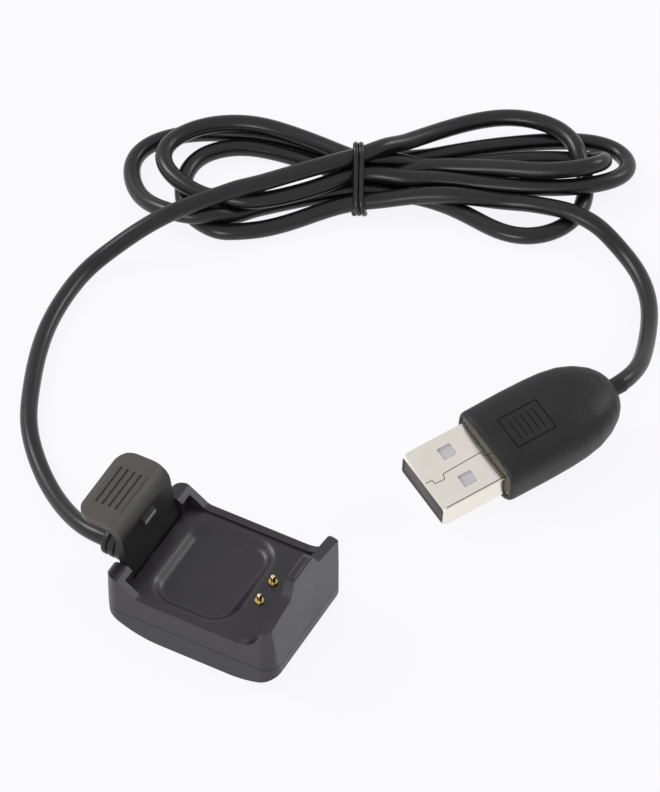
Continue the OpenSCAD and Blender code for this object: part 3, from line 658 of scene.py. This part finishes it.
tray_points, tray_faces = lining()
piece("tray_lining", tray_points, tray_faces, shell_black, sharp=60)
housing = softened("cradle_housing", shell_black, "cradle", 0.18,
                   change=deeper_bay)
cover = softened("base_cover", cover_black, "cradle", 0.16)
latch = softened("latch_arm", latch_black_painted_top, "latch", 0.12)
low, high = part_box("strain_relief")
relief_l = (high.x - low.x) / MM
relief_profile = [[0, 1.45], [0, 2.05], [0.25, 2.25]]
for k in range(4):
    x = 0.9 + 1.35 * k
    r = 2.27 + 0.045 * x
    relief_profile += [[x, r], [x + 0.12, r - 0.32], [x + 0.5, r - 0.32], [x + 0.62, r + 0.02]]
relief_profile += [[6.3, 2.49], [6.55, 2.4], [6.55, 1.5], [relief_l, 1.5], [relief_l, 1.45]]
relief_points = turned(relief_profile, [low.x / MM, 0, 5.1], [1, 0, 0], 48)
relief = piece("relief_sleeve", relief_points, closed_rings(len(relief_profile), 48, False),
               relief_black, sharp=60)
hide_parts("strain_relief")

# ---- plug grip: rounded stations from the face to the tail ----


def grip_surface(x):
    """Half width, half height and corner power of the grip at each x behind its face."""
    s = -np.asarray(x, float) / GRIP_L
    w = np.interp(s, [0, 0.012, 0.035, 0.3, 0.5, 0.62, 0.74, 0.85, 0.93, 0.975, 1],
                  [7.3, 7.6, 7.7, 7.75, 7.7, 7.55, 7.1, 6.15, 4.95, 3.8, 2.7])
    h = np.interp(s, [0, 0.012, 0.035, 0.3, 0.5, 0.62, 0.74, 0.85, 0.93, 0.975, 1],
                  [4.75, 5.0, 5.1, 5.3, 5.3, 5.2, 4.9, 4.3, 3.6, 2.9, 2.2])
    n = np.interp(s, [0, 0.4, 0.8, 1], [3.4, 3.2, 2.8, 2.2])
    return w, h, n


def grip_points(rows=90, sides=96):
    """Superellipses |y/w|^n + |z/h|^n = 1, from the rim of the recess round to the tail."""
    x = -GRIP_L * (1 - np.cos(np.linspace(0.03, math.pi, rows))) / 2
    w, h, n = grip_surface(x)
    w[1:-1] = (w[:-2] + 2 * w[1:-1] + w[2:]) / 4
    h[1:-1] = (h[:-2] + 2 * h[1:-1] + h[2:]) / 4
    a = np.linspace(0, 2 * math.pi, sides, endpoint=False)[None]
    c, s = np.cos(a), np.sin(a)
    k = 2 / n[:, None]
    y = w[:, None] * np.sign(c) * np.abs(c) ** k
    z = h[:, None] * np.sign(s) * np.abs(s) ** k
    body = np.stack([np.broadcast_to(x[:, None], y.shape), y, z], -1)
    tail = body[-1:] * [1, 0.64, 0.72]
    rim = []
    for dx, hw, hh, p in ((-0.02, 7.0, 3.9, 5.0), (-0.16, 6.85, 3.25, 7.0),
                          (-0.95, 6.8, 3.1, 8.0), (-0.95, 6.02, 2.27, 12.0)):
        q = 2 / p
        rim.append(np.stack([np.full(c.shape[1], dx), (hw * np.sign(c) * np.abs(c) ** q)[0],
                             (hh * np.sign(s) * np.abs(s) ** q)[0]], -1))
    return np.concatenate([np.array(rim[::-1]), body, tail]) + [GRIP_NOSE, 0, 0], sides


grid, sides = grip_points()
grip = piece("plug_grip_moulded", on_plug(grid.reshape(-1, 3)),
             closed_rings(len(grid), sides, False), grip_black, sharp=55)
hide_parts("plug_grip")


def grip_top(x, y):
    """Height of the grip's upper surface at x and y, from its superellipse."""
    w, h, n = grip_surface(x - GRIP_NOSE)
    return h * (1 - np.minimum(np.abs(y) / w, 0.999) ** n) ** (1 / n)


def mark_strip(name, a, b, width):
    """A thin strip from a to b that hugs the top of the grip; its near-black colour is painted shade
    for an engraved groove.
    """
    a, b = np.asarray(a, float), np.asarray(b, float)
    t = np.linspace(0, 1, 24)[:, None]
    mid = a + (b - a) * t
    side = np.array([-(b - a)[1], (b - a)[0]]) / np.linalg.norm(b - a) * width / 2
    rows = [mid - side, mid - 0.6 * side, mid + 0.6 * side, mid + side]
    lift = [-0.06, 0.02, 0.02, -0.06]
    top = np.stack([np.column_stack([r, grip_top(r[:, 0], r[:, 1]) + k])
                    for r, k in zip(rows, lift)], 1)
    low = top[:, ::-1] - [0, 0, 0.12]
    grid = np.concatenate([top, low], 1)
    return piece(name, on_plug(grid.reshape(-1, 3)), closed_rings(len(t), 8), mark_painted_shade,
                 sharp=80)


mark_x, mark_y, mark_l, mark_w = -6.4, 0.8, 7.1, 5.8
corners = [(mark_x + sx * mark_l / 2, mark_y + sy * mark_w / 2)
           for sx, sy in ((1, 1), (1, -1), (-1, -1), (-1, 1))]
marks = [mark_strip("grip_mark_edge_%d" % k, corners[k], corners[(k + 1) % 4], 0.34)
         for k in range(4)]
for k in range(5):
    rib_x = mark_x + 2.2 - 1.1 * k
    marks.append(mark_strip("grip_mark_rib_%d" % k, (rib_x, mark_y - 1.9),
                            (rib_x, mark_y + 1.9), 0.28))

# ---- plug shell and what is in it ----


def windows_back(p):
    """Moves the copy's latch windows 1.2 mm towards the grip, and its end back behind the lip."""
    own = (p - PLUG_AT) @ PLUG_TURN
    at = (own[:, 0] > 5.6) & (own[:, 0] < 8.6) & (np.abs(own[:, 1]) < 4.4)
    own[at, 0] -= 1.2
    own[own[:, 0] > 12.0, 0] -= 0.65
    return on_plug(own)


def slimmer(p):
    """Draws the copy of the inner mould in towards the plug's axis, clear of the grip's skin."""
    return on_plug(((p - PLUG_AT) @ PLUG_TURN) * [1, 0.9, 0.88])


mould = softened("plug_inner_mould", mould_white, "cradle", 0.1, change=slimmer)
shell = softened("plug_shell", nickel, "cradle", 0.07, angle=40,
                 change=windows_back)
tongue = softened("plug_tongue", insulator, "cradle", 0.1)
SHELL_OUT, SHELL_W, SHELL_H = 12.3, 12.0, 4.5


def joint_and_shade_strip(name, path, width=0.13):
    """A dark closed strip flush with the top of the shell: along the joint of the folded shell it is
    a dark joint, along the shell's top edge it is a painted dark reflection.
    """
    line = np.asarray(path, float)
    step_ = np.gradient(line, axis=0)
    side = np.stack([-step_[:, 1], step_[:, 0]], 1)
    side *= width / 2 / np.linalg.norm(side, axis=1)[:, None]
    top = SHELL_H / 2 + 0.012
    ring = [np.column_stack([line - side, np.full(len(line), top)]),
            np.column_stack([line + side, np.full(len(line), top)]),
            np.column_stack([line + side, np.full(len(line), top - 0.06)]),
            np.column_stack([line - side, np.full(len(line), top - 0.06)])]
    grid = np.stack(ring, 1)
    return piece(name, on_plug(grid.reshape(-1, 3)), closed_rings(len(line), 4), joint_and_edge_shade,
                 sharp=30)


def polyline(points, gap=0.12):
    """Points along straight stretches, close enough for clean corners."""
    p = np.asarray(points, float)
    parts = [np.linspace(a, b, max(2, int(np.linalg.norm(b - a) / gap)), endpoint=False)
             for a, b in zip(p[:-1], p[1:])]
    return np.concatenate(parts + [p[-1:]])


seam_path = polyline([[SHELL_OUT - 0.4, 0.25], [10.8, 0.3], [10.75, 1.05], [9.05, 1.15],
                      [8.65, 0.2], [1.55, 0.0], [1.4, 0.95], [0.4, 1.0]])
seam = joint_and_shade_strip("shell_seam", seam_path)
# Painted reflection: a dark line along the shell's top edge, for the dark that the edge reflects.
edge_reflection_strip = joint_and_shade_strip("shell_edge_painted_reflection", polyline([[11.6, 5.66], [0.4, 5.66]]), 0.15)
# Painted shade: a dark plate across the whole mouth for its shadowed opening, which also stands for
# the tongue's dark nose.
mouth_x = SHELL_OUT - 0.3
nose = rounded_outline(SHELL_W / 2 - 0.36, SHELL_H / 2 - 0.36, 0.3, 6)
nose_grid = np.stack([np.column_stack([np.full(len(nose), x), nose * k])
                      for x, k in ((mouth_x - 0.3, 1), (mouth_x - 0.05, 1), (mouth_x, 0.98))])
mouth = piece("shell_mouth_shade", on_plug(nose_grid.reshape(-1, 3)),
              closed_rings(3, len(nose)), mouth_shade_and_nose, sharp=30)
lip_outline = rounded_outline(SHELL_W / 2, SHELL_H / 2, 0.45, 6)
lip = np.stack([np.column_stack([np.full(len(lip_outline), x), lip_outline * k])
                for x, k in ((SHELL_OUT - 0.95, (1.0006, 1.002)), (SHELL_OUT - 0.6, (1, 1)),
                              (SHELL_OUT - 0.32, (0.993, 0.982)), (SHELL_OUT - 0.1, (0.978, 0.94)),
                              (SHELL_OUT, (0.962, 0.89)), (SHELL_OUT - 0.03, (0.95, 0.86)),
                              (SHELL_OUT - 0.95, (0.947, 0.855)))])
shell_lip = piece("shell_rolled_lip", on_plug(lip.reshape(-1, 3)),
                  closed_rings(7, len(lip_outline), False), nickel, sharp=60)
skirt_in = rounded_outline(SHELL_W / 2 + 0.02, SHELL_H / 2 + 0.02, 0.5, 6)
skirt_mid = rounded_outline(SHELL_W / 2 + 0.45, SHELL_H / 2 + 0.55, 0.9, 6)
skirt_out = rounded_outline(SHELL_W / 2 + 0.84, SHELL_H / 2 + 0.96, 1.3, 6)
skirt_grid = np.stack([np.column_stack([np.full(len(skirt_in), x), o]) for x, o in
                       ((-0.2, skirt_in), (0.4, skirt_in), (0.46, skirt_mid),
                        (0.38, skirt_out), (-0.2, skirt_out))])
skirt = piece("plug_skirt", on_plug(skirt_grid.reshape(-1, 3)), closed_rings(5, len(skirt_in), False),
              bronze, sharp=40)

# ---- pins ----
low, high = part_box("contact_barrels")
barrel_top = high.z / MM
for side, name in ((1, "left"), (-1, "right")):
    low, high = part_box("contact_plunger_" + name)
    x, y = (low.x + high.x) / 2 / MM, (low.y + high.y) / 2 / MM
    base, tip = low.z / MM, high.z / MM
    r = 0.42
    profile = [[base, 0.02], [base, 0.46], [base + 0.9, 0.46], [base + 0.95, r]]
    a = np.linspace(0, math.pi / 2, 9)
    profile += [[tip - 0.34 + 0.34 * math.sin(t), 0.06 + (r - 0.06) * math.cos(t)] for t in a]
    pin = piece("pin_" + name, turned(profile, [x, y, 0], [0, 0, 1], 32),
                closed_rings(len(profile), 32), pin_tip, body=name + "_pin")
    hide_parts("contact_plunger_" + name)
    collar = [[barrel_top - 0.7, 0.5], [barrel_top - 0.04, 0.5], [barrel_top + 0.01, 0.54],
              [barrel_top + 0.01, 0.66], [barrel_top - 0.07, 0.725], [barrel_top - 0.38, 0.725],
              [barrel_top - 0.7, 0.7]]
    piece("pin_collar_" + name, turned(collar, [x, y, 0], [0, 0, 1], 40),
          closed_rings(len(collar), 40, False), gold, sharp=50)

# ---- painted highlight: a pale bar on the catch tooth, for the light caught by its top ----
low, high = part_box("latch_arm")
tooth = rounded_outline(1.55, 0.3, 0.1, 5)
tooth_x = -13.75
tooth_grid = np.stack([np.column_stack([np.full(len(tooth), tooth_x + dx), tooth[:, 0] * k,
                                        14.36 + tooth[:, 1] * k])
                       for dx, k in ((-0.4, 1), (0.08, 1), (0.14, 0.9))])
piece("catch_tooth_painted_highlight", tooth_grid.reshape(-1, 3), closed_rings(3, len(tooth)), tooth_painted_highlight,
      body="latch", sharp=40)

# ---- finishes of the CAD nodes that stay ----
kept = {
    "latch_spring_left": steel, "latch_spring_right": steel, "contact_carrier": carrier,
    "contact_barrels": gold, "contact_spring_left": steel, "contact_spring_right": steel,
    "circuit_board": board_green, "board_resistors": ceramic, "board_wires": wire_red,
    "cord_core": relief_black, "plug_contacts": gold, 
    "plug_crimp": steel, "plug_wires": relief_black,
}
for name, material in kept.items():
    mesh = nodes[name].data
    mesh.materials.clear()
    mesh.materials.append(material)

# ---- floor, light and camera ----


def white_where_seen(name, colour, strength, share):
    """A pale diffuse surface that camera, mirror and clear rays see as an even white, in part,
    so that it keeps a soft shadow."""
    m = bpy.data.materials.new(name)
    m.use_nodes = True
    t = m.node_tree
    t.nodes.clear()
    out = t.nodes.new("ShaderNodeOutputMaterial")
    pale = t.nodes.new("ShaderNodeBsdfDiffuse")
    pale.inputs["Color"].default_value = (*colour, 1)
    glow = t.nodes.new("ShaderNodeEmission")
    glow.inputs["Color"].default_value = (0.985, 0.98, 1.0, 1)
    glow.inputs["Strength"].default_value = strength
    path = t.nodes.new("ShaderNodeLightPath")
    seen = sums(t, "MAXIMUM", path.outputs["Is Camera Ray"],
                sums(t, "MAXIMUM", path.outputs["Is Glossy Ray"],
                     path.outputs["Is Transmission Ray"]))
    mix = t.nodes.new("ShaderNodeMixShader")
    t.links.new(sums(t, "MULTIPLY", seen, share), mix.inputs["Fac"])
    t.links.new(pale.outputs[0], mix.inputs[1])
    t.links.new(glow.outputs[0], mix.inputs[2])
    t.links.new(mix.outputs[0], out.inputs["Surface"])
    return m


floor_mesh = bpy.data.meshes.new("table")
floor_mesh.from_pydata([(-6, -6, -0.00005), (6, -6, -0.00005), (6, 6, -0.00005),
                        (-6, 6, -0.00005)], [], [(0, 1, 2, 3)])
floor = bpy.data.objects.new("table", floor_mesh)
bpy.context.scene.collection.objects.link(floor)
floor_mesh.materials.append(white_where_seen("pale_table", (0.9, 0.9, 0.91), 1.0, 0.9))

world = bpy.data.worlds.new("studio")
bpy.context.scene.world = world
world.use_nodes = True
tree = world.node_tree
sky = tree.nodes["Background"]
sky.inputs["Color"].default_value = (0.985, 0.98, 1.0, 1)
path = tree.nodes.new("ShaderNodeLightPath")
seen = sums(tree, "MAXIMUM", path.outputs["Is Camera Ray"], path.outputs["Is Transmission Ray"])
sky_level = sums(tree, "MAXIMUM", seen,
                 sums(tree, "MULTIPLY", path.outputs["Is Glossy Ray"], 0.78))
tree.links.new(sums(tree, "MAXIMUM", sky_level, 0.5),
               sky.inputs["Strength"])


def softbox(name, place, aim, size, power):
    """A square area lamp at a place in metres that looks at aim."""
    data = bpy.data.lights.new(name, "AREA")
    data.shape = "RECTANGLE"
    data.size, data.size_y = size
    data.energy = power
    lamp = bpy.data.objects.new(name, data)
    bpy.context.scene.collection.objects.link(lamp)
    lamp.location = place
    lamp.rotation_mode = "QUATERNION"
    lamp.rotation_quaternion = (Vector(aim) - Vector(place)).to_track_quat("-Z", "Y")


softbox("key_softbox", (-0.75, 0.0, 0.6), (-0.01, 0.05, 0), (0.35, 0.35), 3.2)
softbox("low_softbox", (0.1, -0.9, 0.3), (-0.01, 0.05, 0), (0.5, 0.3), 3.2)
softbox("fill_softbox", (0.5, 0.75, 0.55), (-0.01, 0.05, 0), (0.4, 0.3), 1.8)

target = np.array([-6.9, 45.0, 2.4]) * MM
azimuth, elevation, distance = math.radians(28.6), math.radians(47.3), 1.2
toward = Vector((math.sin(azimuth) * math.cos(elevation),
                 -math.cos(azimuth) * math.cos(elevation), math.sin(elevation)))
camera_data = bpy.data.cameras.new("camera")
camera_data.sensor_width = 36.0
camera_data.lens = 7600 * 36.0 / 792
camera_data.clip_start, camera_data.clip_end = 0.05, 20
camera = bpy.data.objects.new("camera", camera_data)
bpy.context.scene.collection.objects.link(camera)
camera.location = Vector(target) + toward * distance
camera.rotation_mode = "QUATERNION"
camera.rotation_quaternion = (-toward).to_track_quat("-Z", "Y")
bpy.context.scene.camera = camera
bpy.context.scene.view_settings.view_transform = "Standard"
